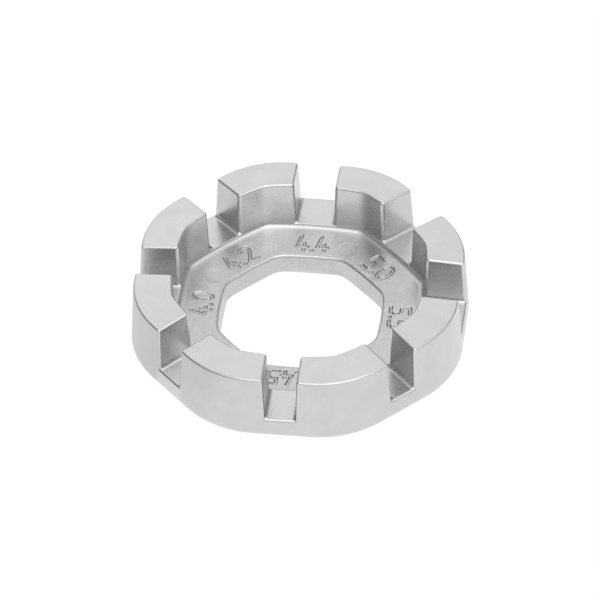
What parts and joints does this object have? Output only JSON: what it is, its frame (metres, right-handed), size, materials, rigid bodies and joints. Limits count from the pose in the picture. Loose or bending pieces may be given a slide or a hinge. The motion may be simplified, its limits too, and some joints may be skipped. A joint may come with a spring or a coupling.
{
  "type": "spoke wrench",
  "caption": "Ring-shaped bicycle spoke wrench with a crown of slots between upright teeth, a dished face and an octagonal centre opening.",
  "frame": {"origin": "centre of the flat base, on the ring's axis", "axes": "+Z along the ring's axis, from the base up through the teeth; -Y through the front slot (3.45), +X through the slot marked 5.5, +Y through the slot marked 4.4"},
  "size_m": [0.0364, 0.0364, 0.0085],
  "materials": {
    "plated_metal": "satin plated casting, fine grain"
  },
  "bodies": {
    "root": {"wrench_ring": "plated_metal"}
  },
  "joints": []
}
